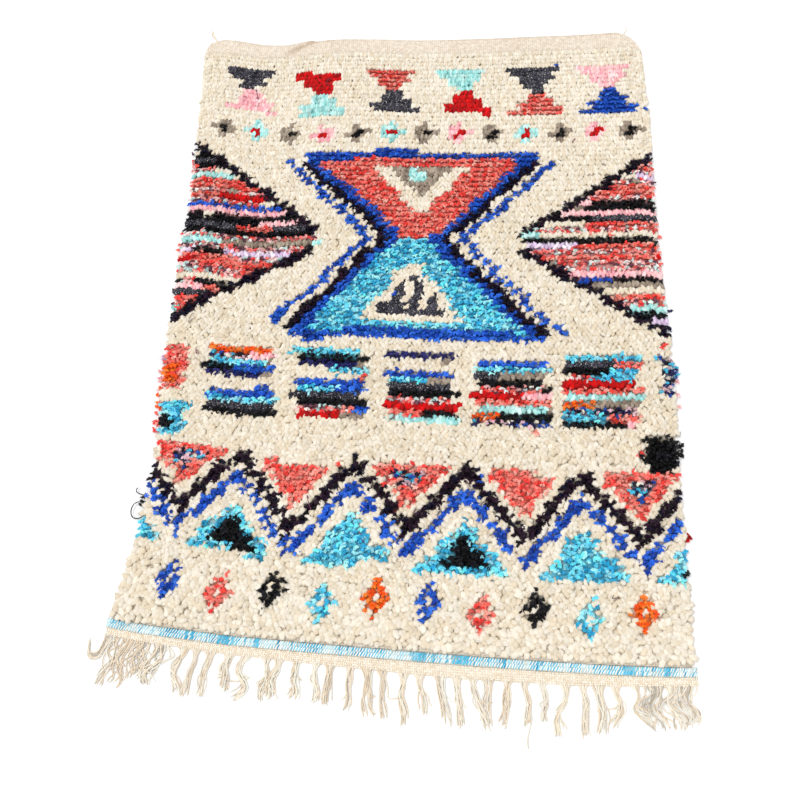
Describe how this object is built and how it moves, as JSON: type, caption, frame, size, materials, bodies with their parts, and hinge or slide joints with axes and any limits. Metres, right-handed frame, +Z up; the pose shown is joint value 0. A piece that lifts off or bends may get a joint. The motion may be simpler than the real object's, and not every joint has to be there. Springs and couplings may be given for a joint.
{
  "type": "azilal rug",
  "caption": "Flat hand-knotted wool rug with a lumpy pile, a flat-woven far end, a twined band and a fringed near end.",
  "frame": {"origin": "on the floor, under the middle of the rectangle that the rug and its fringe fill", "axes": "+Z up out of the pile, +Y along the rug from the fringed end to the flat-woven end, +X across it"},
  "size_m": [1.1014, 1.6783, 0.0171],
  "materials": {
    "wool_pile": "knotted cream wool pile with knots of coloured wool and rag strips",
    "blue_twining": "light blue cotton twining",
    "cotton_warp": "undyed cotton weave and fringe"
  },
  "bodies": {
    "root": {"piled_cloth": "wool_pile", "twined_band": "blue_twining", "fringed_strip": "cotton_warp"}
  },
  "joints": []
}
